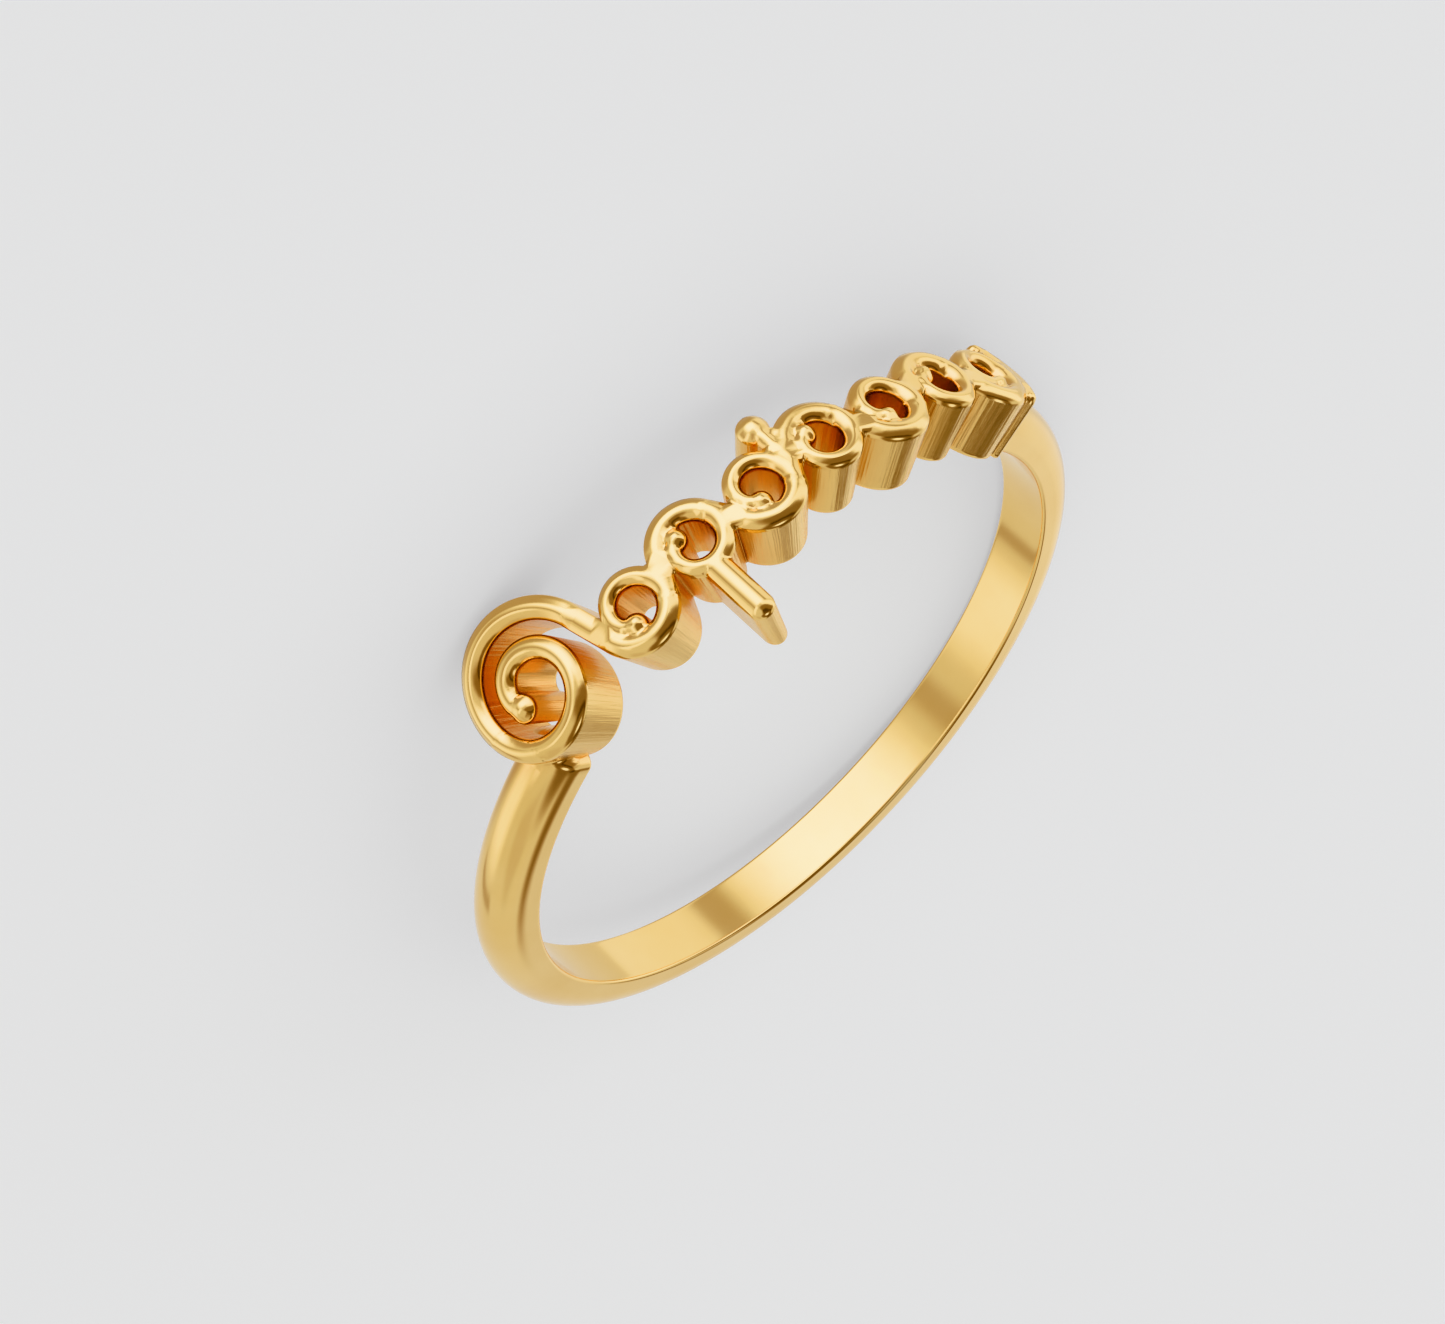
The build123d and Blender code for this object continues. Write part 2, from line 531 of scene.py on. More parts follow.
# the four sides of a grid cell, as (axis, step along X, step along Y), and the lines that cross a cell,
# by the number that its corners inside the shape make
CELL_SIDES = {"low": (0, 0, 0), "right": (1, 1, 0), "high": (0, 0, 1), "left": (1, 0, 0)}
CELL_LINES = {
    1: ["low left"],
    2: ["right low"],
    3: ["right left"],
    4: ["high right"],
    5: ["low left", "high right"],
    6: ["high low"],
    7: ["high left"],
    8: ["left high"],
    9: ["low high"],
    10: ["right low", "left high"],
    11: ["right high"],
    12: ["left right"],
    13: ["low right"],
    14: ["left low"],
}


def zero_loops(shape: Shape, low: Point, high: Point, step: float) -> list[Array]:
    """The closed lines where a distance is zero, with the inside on their left.

    Args:
        shape: The distance.
        low: The lowest corner of the area that is searched.
        high: Its highest corner.
        step: The size of the grid that is searched.

    Returns:
        The lines' points, one array for each line.
    """
    xs, ys = np.arange(low[0], high[0], step), np.arange(low[1], high[1], step)
    grid = np.stack(np.meshgrid(xs, ys, indexing="ij"), axis=-1)
    values = shape(grid.reshape(-1, 2)).reshape(len(xs), len(ys))
    inside = (values < 0).astype(int)
    code = inside[:-1, :-1] + 2 * inside[1:, :-1] + 4 * inside[1:, 1:] + 8 * inside[:-1, 1:]
    onward = {}
    for i, j in zip(*np.nonzero(np.isin(code, list(CELL_LINES)))):
        for line in CELL_LINES[code[i, j]]:
            keys = []
            for side in line.split():
                axis, right, up = CELL_SIDES[side]
                keys.append((axis, i + right, j + up))
            onward[keys[0]] = keys[1]
    loops = []
    while onward:
        key, follower = onward.popitem()
        loop = [key]
        while follower != key:
            loop.append(follower)
            follower = onward.pop(follower)
        points = []
        for axis, i, j in loop:
            i1, j1 = (i + 1, j) if axis == 0 else (i, j + 1)
            share = values[i, j] / (values[i, j] - values[i1, j1])
            points.append(grid[i, j] + share * (grid[i1, j1] - grid[i, j]))
        loops.append(settle(shape, np.array(points)))
    return loops


def even_loop(points: Array, spacing: float) -> Array:
    """Spaces a closed line's points evenly.

    Args:
        points: The line's points, one row each.
        spacing: The distance wanted between them.

    Returns:
        The evenly spaced points.
    """
    closed = np.vstack([points, points[:1]])
    run = np.concatenate([[0.0], np.cumsum(np.linalg.norm(np.diff(closed, axis=0), axis=1))])
    wanted = np.linspace(0.0, run[-1], max(8, round(run[-1] / spacing)) + 1)[:-1]
    return np.stack([np.interp(wanted, run, closed[:, axis]) for axis in (0, 1)], axis=1)


class Skin(Enum):
    """Which of the ring's faces covers a part of its flat outline from above."""

    NONE = 0
    SHANK = 1
    BAND = 2


@dataclass
class Sampler:
    """Collects the flat places that the ring's mesh is drawn through.

    Args:
        ring: The flat ring.
        spacing: The distance between places along an outline.
    """

    ring: FlatRing
    spacing: float = 0.045

    # the search for the band's outline
    MARGIN = 1.0
    GRID = 0.04
    SLOPE_STEP = 2e-3

    # the rows inside the outline and out over the shank's fillet, and how far they may stray
    RIM_DEPTHS = (0.016, 0.04)
    FILLET_GAPS = (0.012, 0.045, 0.10)
    STRAY = 0.3
    FILLET_CLEAR = 0.008
    INSIDE = 0.01

    # the lines along the beads, as shares of the half width
    BEAD_LINES = (0.36, 0.64, 0.82)
    BEAD_CLEAR = 0.004
    RIM_CLEAR = 0.055
    HIDDEN = 0.02

    # the rows of the shank, clear of the band's outline and fillet
    SHANK_STEP = 0.16
    SHANK_LINES = 12
    SHANK_CLEAR = 0.006
    WALL_CLEAR = 0.03
    WALL_DEEP = 0.4

    # how close two places may be in the triangulation
    NEAREST = 1e-5

    def __post_init__(self) -> None:
        """Starts with no places and no outline edges."""
        self.places: list[Array] = []
        self.edges: list[tuple[int, int]] = []
        self.count = 0

    def add(self, places: Array) -> int:
        """Adds places.

        Args:
            places: The places, one row each.

        Returns:
            The number of the first.
        """
        first = self.count
        self.places.append(places)
        self.count += len(places)
        return first

    def add_loop(self, places: Array) -> None:
        """Adds a closed outline with its edges."""
        first = self.add(places)
        self.edges += [(first + i, first + (i + 1) % len(places)) for i in range(len(places))]

    def add_clear(self, places: Array, clearance: float) -> None:
        """Adds the places that keep clear of those that are there already.

        Args:
            places: The places, one row each.
            clearance: How far they have to keep clear.
        """
        tree = KDTree(self.count)
        for i, (x, y) in enumerate(np.concatenate(self.places)):
            tree.insert((x, y, 0.0), i)
        tree.balance()
        free = [tree.find((x, y, 0.0))[2] > clearance for x, y in places]
        self.add(places[np.array(free, dtype=bool)])

    def outline_band(self) -> None:
        """Adds the band's outline, the rows inside it and those of the shank's fillet."""
        layout, edge = self.ring.layout, self.ring.band_edge
        low = (-self.MARGIN, -layout.row_radius - layout.drop_length - self.MARGIN)
        high = (layout.band_end + self.MARGIN, layout.volute_rise + layout.volute_radius + self.MARGIN)
        loops = [even_loop(loop, self.spacing) for loop in zero_loops(edge, low, high, self.GRID)]
        loops = [settle(edge, loop, rounds=2) for loop in loops]
        for loop in loops:
            self.add_loop(loop)
        outline = np.concatenate(loops)
        outward = gradient(edge, outline, self.SLOPE_STEP)
        outward /= np.linalg.norm(outward, axis=1)[:, None] + 1e-9
        for depth in self.RIM_DEPTHS:
            ring = outline - depth * outward
            self.add(ring[np.abs(edge(ring) + depth) < self.STRAY * depth])
        for gap in self.FILLET_GAPS:
            ring = outline + gap * outward
            true = np.abs(edge(ring) - gap) < self.STRAY * gap
            over_shank = self.ring.shank_edge(ring) < -self.INSIDE
            self.add_clear(ring[true & over_shank], self.FILLET_CLEAR)

    def fill_beads(self) -> None:
        """Adds lines of places along the bead of every wire."""
        for wire in self.ring.wires:
            ways = np.gradient(wire.points, axis=0)
            ways /= np.linalg.norm(ways, axis=1)[:, None]
            sides = np.stack([-ways[:, 1], ways[:, 0]], axis=1)
            widths = wire.half_widths[:, None]
            rows = [] if len(wire.points) < 3 else [wire.points]
            for share in self.BEAD_LINES:
                reach = share * widths
                if len(wire.points) > 2:
                    rows += [wire.points + reach * sides, wire.points - reach * sides]
                rows.append(self.cap(wire.points[0], -ways[0], reach[0, 0]))
                rows.append(self.cap(wire.points[-1], ways[-1], reach[-1, 0]))
            rows.append(wire.points[:: len(wire.points) - 1])
            places = np.concatenate(rows)
            distance, half = wire.measure(places)
            own = self.ring.top_radius - self.ring.lip_drop + wire.rise * self.ring.bead(distance / half)
            seen = own > self.ring.band_top(places) - self.HIDDEN
            inside = self.ring.band_edge(places) < -self.RIM_CLEAR
            self.add_clear(places[seen & inside], self.BEAD_CLEAR)

    def cap(self, centre: Array, way: Array, radius: float) -> Array:
        """Sets places on the half circle round a wire's end.

        Args:
            centre: The end of the wire's line.
            way: The way that the line runs out there.
            radius: The half circle's radius.

        Returns:
            The places, one row each.
        """
        count = max(3, round(pi * radius / self.spacing))
        angles = atan2(way[1], way[0]) + np.linspace(-pi / 2, pi / 2, count + 1)[1:-1]
        return centre + radius * np.stack([np.cos(angles), np.sin(angles)], axis=1)

    def fill_shank(self) -> None:
        """Adds the outlines of the shank's two halves and rows of places across them."""
        half = self.ring.shank_width / 2
        turns = np.linspace(-pi / 2, pi / 2, 2 * self.SHANK_LINES + 1)
        across = half * np.sin(turns)
        for start, end, round_end in self.ring.strips:
            steps = np.linspace(start, end, ceil((end - start) / self.SHANK_STEP) + 1)
            columns = np.stack(np.meshgrid(steps, across, indexing="ij"), axis=-1)
            if round_end:
                tip = [(end + self.ring.shank_tip * cos(turn), half * sin(turn)) for turn in turns[1:-1]]
            else:
                tip = [tuple(place) for place in columns[-1, 1:-1]]
            border = [tuple(place) for place in columns[:, 0]] + tip
            border += [tuple(place) for place in columns[::-1, -1]]
            border += [tuple(place) for place in columns[0, ::-1][1:-1]]
            self.add_loop(np.array(border))
            inner = [columns[1:-1, 1:-1].reshape(-1, 2)]
            if round_end:
                for share in np.sin(turns[self.SHANK_LINES + 1 : -1]):
                    row = self.cap(np.zeros(2), np.array([1.0, 0.0]), half * share)
                    inner.append(row * (self.ring.shank_tip / half, 1.0) + (end, 0.0))
                inner.append(columns[-1, 1:-1])
            places = np.concatenate(inner)
            gap = self.ring.band_edge(places)
            self.add_clear(places[(gap > self.WALL_CLEAR) | (gap < -self.WALL_DEEP)], self.SHANK_CLEAR)

    def triangulate(self) -> tuple[Array, Array]:
        """Draws triangles between the places.

        Returns:
            The flat places that came out and the triangles, three numbers each.
        """
        places = [Vector(place) for place in np.concatenate(self.places)]
        result = delaunay_2d_cdt(places, self.edges, [], 0, self.NEAREST)
        return np.array([tuple(place) for place in result[0]]), np.array(result[2])


@dataclass
class FlatMesh:
    """The closed mesh of the unrolled ring, built over a flat triangulation.

    Args:
        ring: The flat ring.
        places: The triangulation's places.
        triangles: Its triangles, anticlockwise.
    """

    ring: FlatRing
    places: Array
    triangles: Array

    # the height of the short faces at the top and bottom of a wall
    SHORT = 0.035

    # how the valleys between beads are softened: its reach, its rounds and the rim that it leaves out
    SOFT_REACH = 0.05
    SOFT_ROUNDS = 3
    SOFT_RIM = 0.045

    # how near to the cut an edge lies on it
    AT_CUT = 1e-4

    def __post_init__(self) -> None:
        """Starts with no vertices."""
        self.vertices: list[Corner] = []
        self.numbers: dict[tuple[int, int], int] = {}
        self.columns: dict[tuple[int, int, int], list[int]] = {}
        self.levels: dict[int, set[int]] = {}
        self.heights: dict[int, Array] = {}

    def build(self) -> tuple[list[Corner], list[Face]]:
        """Makes the mesh.

        Returns:
            The vertices as (along, across, height) and the faces.
        """
        centres = self.places[self.triangles].mean(axis=1)
        in_band = self.ring.band_edge(centres) < 0
        in_shank = self.ring.shank_edge(centres) < 0
        ends = np.abs(centres[:, 0] - (self.ring.cut - self.ring.length / 2)) < self.ring.length / 2
        skins = np.where(in_band, Skin.BAND.value, np.where(in_shank & ends, Skin.SHANK.value, 0))
        self.heights = {
            Skin.BAND.value: self.soften(self.ring.band_top(self.places), in_band),
            Skin.SHANK.value: self.ring.shank_top(self.places),
            Skin.NONE.value: self.ring.underside(self.places),
        }
        faces: list[Face] = []
        sides: dict[tuple[int, int], int] = {}
        for (a, b, c), skin in zip(self.triangles.tolist(), skins.tolist()):
            if not skin:
                continue
            faces.append((self.vertex(a, skin), self.vertex(b, skin), self.vertex(c, skin)))
            faces.append((self.vertex(c, 0), self.vertex(b, 0), self.vertex(a, 0)))
            for start, end in ((a, b), (b, c), (c, a)):
                sides[(start, end)] = skin
        for (start, end), skin in sides.items():
            below = sides.get((end, start), 0)
            if below < skin and not self.at_cut(start, end):
                low, high = self.column(start, below, skin), self.column(end, below, skin)
                faces += self.wall(low, high)
        return self.vertices, faces

    def soften(self, heights: Array, in_band: Array) -> Array:
        """Evens out the heights of the band's top, apart from its rim, so that its valleys are soft.

        Args:
            heights: The height of the top at each place.
            in_band: Whether each triangle is in the band.

        Returns:
            The softened heights.
        """
        band = self.triangles[in_band]
        pairs = np.concatenate([band[:, [0, 1]], band[:, [1, 2]], band[:, [2, 0]]])
        lengths = np.linalg.norm(self.places[pairs[:, 0]] - self.places[pairs[:, 1]], axis=1)
        weights = np.exp(-((lengths / self.SOFT_REACH) ** 2))
        own = self.ring.band_edge(self.places) < -self.SOFT_RIM
        for _ in range(self.SOFT_ROUNDS):
            total, weight = np.zeros(len(heights)), np.full(len(heights), 1e-9)
            for start, end in ((0, 1), (1, 0)):
                np.add.at(total, pairs[:, start], weights * heights[pairs[:, end]])
                np.add.at(weight, pairs[:, start], weights)
            heights = np.where(own, (heights + total / weight) / 2, heights)
        return heights

    def at_cut(self, start: int, end: int) -> bool:
        """Tells whether an edge lies where the ring is cut open.

        Args:
            start: The place where it starts.
            end: The place where it ends.

        Returns:
            True on either side of the cut.
        """
        xs = self.places[[start, end], 0]
        ends = (self.ring.cut - self.ring.length, self.ring.cut)
        return any((np.abs(xs - end_x) < self.AT_CUT).all() for end_x in ends)

    def vertex(self, place: int, skin: int) -> int:
        """Finds the vertex of one skin over a place, and makes it if it isn't there yet.

        Args:
            place: The flat place's number.
            skin: The skin's number, 0 for the underside.

        Returns:
            The vertex's number.
        """
        key = (place, skin)
        if key not in self.numbers:
            self.numbers[key] = len(self.vertices)
            x, y = self.places[place]
            self.vertices.append((float(x), float(y), float(self.heights[skin][place])))
            self.levels.setdefault(place, set()).add(skin)
        return self.numbers[key]

    def column(self, place: int, below: int, above: int) -> list[int]:
        """Finds the vertices up a wall's edge, with those that lie between two skins.

        Args:
            place: The flat place's number.
            below: The number of the skin at the wall's foot.
            above: The number of the skin at its top.

        Returns:
            The vertices' numbers, lowest first.
        """
        skins = sorted(skin for skin in self.levels[place] if below <= skin <= above)
        column = [self.vertex(place, skins[0])]
        for low, high in zip(skins, skins[1:]):
            key = (place, low, high)
            if key not in self.columns:
                x, y, bottom = self.vertices[self.vertex(place, low)]
                top = self.vertices[self.vertex(place, high)][2]
                self.columns[key] = []
                for height in (bottom + self.SHORT, (bottom + top) / 2, top - self.SHORT):
                    self.columns[key].append(len(self.vertices))
                    self.vertices.append((x, y, height))
            column += self.columns[key] + [self.vertex(place, high)]
        return column

    @staticmethod
    def wall(start: list[int], end: list[int]) -> list[Face]:
        """Draws the faces of a wall between two upright edges.

        Args:
            start: The vertices up one edge.
            end: Those up the other.

        Returns:
            The faces, or one face where the edges differ in their vertices.
        """
        if len(start) != len(end):
            return [tuple(start[::-1] + end)]
        return [(start[i], end[i], end[i + 1], start[i + 1]) for i in range(len(start) - 1)]


class NodeMaker:
    """Adds and links the nodes of one tree."""

    def __init__(self, tree: bpy.types.NodeTree) -> None:
        """Takes the tree that the nodes go into."""
        self.tree = tree

    def node(self, kind: str, given: dict[Any, Any] | None = None, **settings: Any) -> bpy.types.Node:
        """Adds a node.

        Args:
            kind: The node's type.
            given: Its inputs by name or number, as feed takes them.
            settings: Its properties.

        Returns:
            The node.
        """
        node = self.tree.nodes.new(kind)
        for name, value in settings.items():
            setattr(node, name, value)
        self.feed(node, given or {})
        return node

    def feed(self, node: bpy.types.Node, given: dict[Any, Any]) -> None:
        """Links a node's inputs to sockets, or sets their values.

        Args:
            node: The node.
            given: A socket or a value for each input, by its name or number.
        """
        for slot, value in given.items():
            if isinstance(value, Socket):
                self.tree.links.new(value, node.inputs[slot])
            else:
                node.inputs[slot].default_value = value

    def math(self, operation: str, *values: Any) -> Socket:
        """The result of a Math node on sockets and numbers."""
        return self.node("ShaderNodeMath", dict(enumerate(values)), operation=operation).outputs[0]

    def split(self, vector: Socket) -> Any:
        """The X, Y and Z of a vector."""
        return self.node("ShaderNodeSeparateXYZ", {0: vector}).outputs

    def ramp(self, source: Socket, stops: Stops) -> Socket:
        """Adds a colour ramp.

        Args:
            source: What runs along the ramp.
            stops: The place and the colour of each stop, in order.

        Returns:
            The colour.
        """
        node = self.node("ShaderNodeValToRGB", {"Fac": source})
        for _ in stops[2:]:
            node.color_ramp.elements.new(0.5)
        for element, (position, colour) in zip(node.color_ramp.elements, stops):
            element.position = position
            element.color = colour
        return node.outputs["Color"]


class BendTree(NodeMaker):
    """A Geometry Nodes tree that bends the flat ring round its axis and welds the cut."""

    NAME = "bend_round_axis"
    LAYOUT = "layout"
    STREAKED = "streaked"
    # how little of an upright face's normal may point up or down
    STEEP = 0.04
    INPUTS = {
        "Geometry": "NodeSocketGeometry",
        "Start Angle": "NodeSocketFloat",
        "Top Radius": "NodeSocketFloat",
        "Band Start": "NodeSocketFloat",
        "Band End": "NodeSocketFloat",
        "Side Height": "NodeSocketFloat",
        "Weld Distance": "NodeSocketFloat",
        "Material": "NodeSocketMaterial",
    }

    def __init__(self) -> None:
        """Makes the tree with its named inputs."""
        super().__init__(bpy.data.node_groups.new(self.NAME, "GeometryNodeTree"))
        self.sockets: dict[str, str] = {}
        for name, kind in self.INPUTS.items():
            socket = self.tree.interface.new_socket(name, in_out="INPUT", socket_type=kind)
            self.sockets[name] = socket.identifier
        self.tree.interface.new_socket("Geometry", in_out="OUTPUT", socket_type="NodeSocketGeometry")
        self.build()

    def store(self, geometry: Any, name: str, value: Any, kind: str, domain: str) -> Socket:
        """Stores a value on the geometry.

        Args:
            geometry: The geometry's socket.
            name: The name that the value gets.
            value: The value's socket.
            kind: The value's type.
            domain: What it is stored for, such as each point.

        Returns:
            The socket of the geometry with the value on it.
        """
        given = {"Geometry": geometry, "Name": name, "Value": value}
        return self.node("GeometryNodeStoreNamedAttribute", given, data_type=kind, domain=domain).outputs[0]

    def streaked(self, place: Any, given: Any) -> Socket:
        """Tells the band's walls from the rest of the ring.

        Args:
            place: The X, Y and Z of the flat ring.
            given: The tree's inputs.

        Returns:
            One on the upright faces of the band above the shank's sides, and nothing elsewhere.
        """
        facing = self.split(self.node("GeometryNodeInputNormal").outputs[0])
        steep = self.math("LESS_THAN", self.math("ABSOLUTE", facing["Z"]), self.STEEP)
        raised = self.math("GREATER_THAN", place["Z"], given["Side Height"])
        started = self.math("GREATER_THAN", place["X"], given["Band Start"])
        ended = self.math("LESS_THAN", place["X"], given["Band End"])
        inside = self.math("MULTIPLY", started, ended)
        return self.math("MULTIPLY", self.math("MULTIPLY", steep, raised), inside)

    def build(self) -> None:
        """Adds the nodes that mark, bend, weld and coat the flat ring."""
        given = self.node("NodeGroupInput").outputs
        position = self.node("GeometryNodeInputPosition").outputs[0]
        flat = self.split(position)
        stored = self.store(given["Geometry"], self.LAYOUT, position, "FLOAT_VECTOR", "POINT")
        stored = self.store(stored, self.STREAKED, self.streaked(flat, given), "FLOAT", "FACE")
        turned = self.math("DIVIDE", flat["X"], given["Top Radius"])
        angle = self.math("SUBTRACT", given["Start Angle"], turned)
        bent = {
            "X": self.math("MULTIPLY", flat["Z"], self.math("COSINE", angle)),
            "Y": self.math("MULTIPLY", flat["Z"], self.math("SINE", angle)),
            "Z": self.math("MULTIPLY", flat["Y"], -1.0),
        }
        steps = (
            ("GeometryNodeSetPosition", {"Position": self.node("ShaderNodeCombineXYZ", bent).outputs[0]}),
            ("GeometryNodeMergeByDistance", {"Distance": given["Weld Distance"]}),
            ("GeometryNodeSetShadeSmooth", {}),
            ("GeometryNodeRealizeInstances", {}),
            ("GeometryNodeSetMaterial", {"Material": given["Material"]}),
        )
        for kind, inputs in steps:
            stored = self.node(kind, {"Geometry": stored, **inputs}).outputs[0]
        self.node("NodeGroupOutput", {"Geometry": stored})

    def apply(self, flat: bpy.types.Mesh, values: dict[str, Any], name: str) -> bpy.types.Mesh:
        """Runs the tree on a mesh.

        Args:
            flat: The flat mesh.
            values: The tree's inputs by name.
            name: The name of the new mesh.

        Returns:
            The bent mesh, without the modifier.
        """
        carrier = bpy.data.objects.new(name, flat)
        bpy.context.scene.collection.objects.link(carrier)
        modifier = carrier.modifiers.new(self.NAME, "NODES")
        modifier.node_group = self.tree
        for label, value in values.items():
            modifier[self.sockets[label]] = value
        carrier.update_tag()
        depsgraph = bpy.context.evaluated_depsgraph_get()
        mesh = bpy.data.meshes.new_from_object(carrier.evaluated_get(depsgraph), depsgraph=depsgraph)
        mesh.name = name
        bpy.data.objects.remove(carrier)
        return mesh


@dataclass
class RingSeat:
    """Where the ring's own frame sits in the part's frame: its axis is +Z, the band's middle at -Y.

    Args:
        layout: The flat drawing of the band.
        mount: The finger hole, as the part's record gives it.
    """

    layout: ScrollLayout
    mount: dict[str, Any]

    @property
    def middle(self) -> float:
        """Works out how high the finger hole's middle is in the ring's own frame.

        Returns:
            The height, in millimetres.
        """
        layout = self.layout
        crown = layout.stem(layout.discs())[:, 1].max() + layout.stem_width / 2
        foot = layout.row_radius + layout.drop_length + layout.drop_width / 2
        return (foot - crown) / 2

    def matrix(self) -> Matrix:
        """Works out the move from the ring's own frame to the part's frame.

        Returns:
            The move, in millimetres.
        """
        axis = Vector(self.mount["axis"]).normalized()
        along = Vector((axis.z, 0.0, -axis.x)).normalized()
        across = axis.cross(along)
        origin = Vector(self.mount["pos_m"]) / MM - axis * self.middle
        turn = Matrix((along, across, axis)).transposed().to_4x4()
        return Matrix.Translation(origin) @ turn


class GoldMaterial(NodeMaker):
    """Polished yellow gold, a little uneven, with painted shade that makes it darker and redder in its
    recesses, and satin, streaked walls.
    """

    EVEN = ((0.3, (0.93, 0.63, 0.22, 1.0)), (0.7, (0.97, 0.69, 0.27, 1.0)))
    PATCH_SCALE = 0.5 / MM
    PATCH_DETAIL = 3.0
    RECESS_REACH = 1.6 * MM
    RECESS_SAMPLES = 4
    # painted shade: the tint that darkens and reddens the gold where ambient occlusion finds a recess
    RECESS_SHADE_TINTS = ((0.15, (0.97, 0.70, 0.48, 1.0)), (0.95, (1.0, 1.0, 1.0, 1.0)))
    STREAK_DEPTH = 0.03 * MM
    STREAK_STRETCH = (1.0, 1.0, 0.03)
    STREAK_SCALE = 9.0
    STREAK_DETAIL = 4.0
    POLISHED = 0.13
    SATIN = 0.27

    def __init__(self, name: str) -> None:
        """Makes the material.

        Args:
            name: The material's name.
        """
        self.material = bpy.data.materials.new(name)
        self.material.use_nodes = True
        super().__init__(self.material.node_tree)
        streaked = self.node("ShaderNodeAttribute", attribute_name=BendTree.STREAKED).outputs["Fac"]
        given = {"Value": streaked, "To Min": self.POLISHED, "To Max": self.SATIN}
        finish = self.node("ShaderNodeMapRange", given)
        given = {
            "Metallic": 1.0,
            "Base Color": self.colour(),
            "Roughness": finish.outputs["Result"],
            "Normal": self.streaks(streaked),
        }
        self.feed(self.tree.nodes["Principled BSDF"], given)

    def noise(self, place: Socket, scale: float, detail: float) -> Socket:
        """Noise over some coordinates."""
        given = {"Vector": place, "Scale": scale, "Detail": detail}
        return self.node("ShaderNodeTexNoise", given).outputs["Fac"]

    def colour(self) -> Socket:
        """Makes the gold's colour, a little uneven, with painted shade: darker and redder where the scrolls
        occlude each other.

        Returns:
            The colour.
        """
        # painted shade: ambient occlusion darkens and reddens the base colour in the recesses
        given = {"Distance": self.RECESS_REACH}
        recess_shade = self.node("ShaderNodeAmbientOcclusion", given, samples=self.RECESS_SAMPLES, only_local=True)
        place = self.node("ShaderNodeTexCoord").outputs["Object"]
        patches = self.noise(place, self.PATCH_SCALE, self.PATCH_DETAIL)
        # several of this node's inputs are called A or B, so the colours go in by number
        given = {
            "Factor": 1.0,
            6: self.ramp(patches, self.EVEN),
            7: self.ramp(recess_shade.outputs["AO"], self.RECESS_SHADE_TINTS),
        }
        return self.node("ShaderNodeMix", given, data_type="RGBA", blend_type="MULTIPLY").outputs[2]

    def streaks(self, streaked: Socket) -> Socket:
        """Makes fine streaks from the casting down the walls of the band, under its beads.

        Args:
            streaked: One on those walls and nothing elsewhere.

        Returns:
            The surface's normal.
        """
        layout = self.node("ShaderNodeAttribute", attribute_name=BendTree.LAYOUT).outputs["Vector"]
        drawn = self.node("ShaderNodeMapping", {"Vector": layout, "Scale": self.STREAK_STRETCH})
        given = {
            "Distance": self.STREAK_DEPTH,
            "Strength": streaked,
            "Height": self.noise(drawn.outputs["Vector"], self.STREAK_SCALE, self.STREAK_DETAIL),
        }
        return self.node("ShaderNodeBump", given).outputs["Normal"]


@dataclass
class Camera:
    """The camera, given in the ring's own frame turned so that the band starts at a set angle.

    RIGHT, DOWN and AHEAD are its directions there. OFFSET is how far the ring's middle is from it along
    them, in bore radii.

    Args:
        seat: Where the ring's frame sits in the part's frame.
        ring: The flat ring, for its sizes.
    """

    seat: RingSeat
    ring: FlatRing

    FOCAL_PIXELS = 3200.0
    IMAGE_WIDTH = 1445
    SENSOR = 36.0
    BAND_START = 378.5
    RIGHT = (-0.43781690, -0.59936642, 0.67013153)
    DOWN = (-0.10915088, 0.77528707, 0.62210613)
    AHEAD = (-0.89241383, 0.19922313, -0.40485516)
    OFFSET = (0.17223, 0.129024, 9.424082)

    def place(self, start_angle: float) -> bpy.types.Object:
        """Makes the scene's camera.

        Args:
            start_angle: The angle of the band's start in the ring's own frame, in degrees.

        Returns:
            The camera.
        """
        axes = Matrix((self.RIGHT, self.DOWN, self.AHEAD))
        turn = Matrix.Rotation(radians(self.BAND_START - start_angle), 3, "Z")
        eye = -(axes.transposed() @ Vector(self.OFFSET)) * self.ring.bore_radius
        looking = (axes @ turn).transposed()
        columns = Matrix((looking.col[0], -looking.col[1], -looking.col[2])).transposed()
        local = Matrix.Translation(turn.transposed() @ eye) @ columns.to_4x4()
        data = bpy.data.cameras.new("camera")
        data.sensor_width = self.SENSOR
        data.lens = self.FOCAL_PIXELS / self.IMAGE_WIDTH * self.SENSOR
        data.clip_start = MM
        data.clip_end = 10.0
        camera = bpy.data.objects.new("camera", data)
        bpy.context.scene.collection.objects.link(camera)
        world = self.seat.matrix() @ local
        world.translation *= MM
        camera.matrix_world = world
        bpy.context.scene.camera = camera
        return camera


@dataclass(frozen=True)
class SoftBox:
    """A soft-edged bright or dim field of the surround, as seen from the ring.

    Args:
        azimuth: The heading of its middle, in degrees.
        elevation: The height of its middle above the horizon, in degrees.
        width: How far it keeps its full gain to either side of its middle, in degrees.
        height: How far it keeps its full gain above and below its middle, in degrees.
        fades: How far beyond that it fades out, to the sides and up and down, in degrees.
        gain: How much brightness it adds, negative for a dim field.
    """

    azimuth: float
    elevation: float
    width: float
    height: float
    fades: Point
    gain: float


